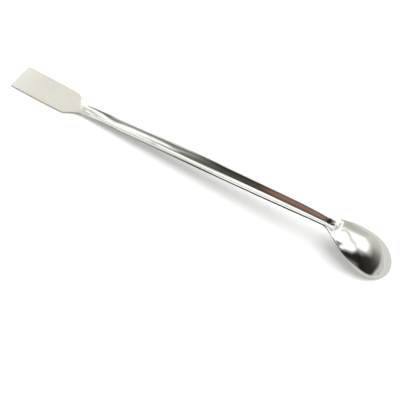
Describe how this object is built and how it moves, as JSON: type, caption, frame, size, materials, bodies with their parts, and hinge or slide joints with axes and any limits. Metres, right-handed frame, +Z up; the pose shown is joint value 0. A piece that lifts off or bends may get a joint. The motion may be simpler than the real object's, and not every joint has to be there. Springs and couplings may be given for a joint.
{
  "type": "lab spatula",
  "caption": "Double-ended lab spatula pressed from one strip of steel: flat blade, channelled handle and oval spoon bowl.",
  "frame": {"origin": "on the bench under the middle of the part's length and width", "axes": "+X from the blade's end to the spoon's tip, +Z up from the bench; the channel opens upwards and the bowl lies face down"},
  "size_m": [0.22, 0.0224, 0.0148],
  "materials": {
    "steel": "polished stainless steel, with a satin blade"
  },
  "bodies": {
    "root": {"spatula": "steel"}
  },
  "joints": []
}
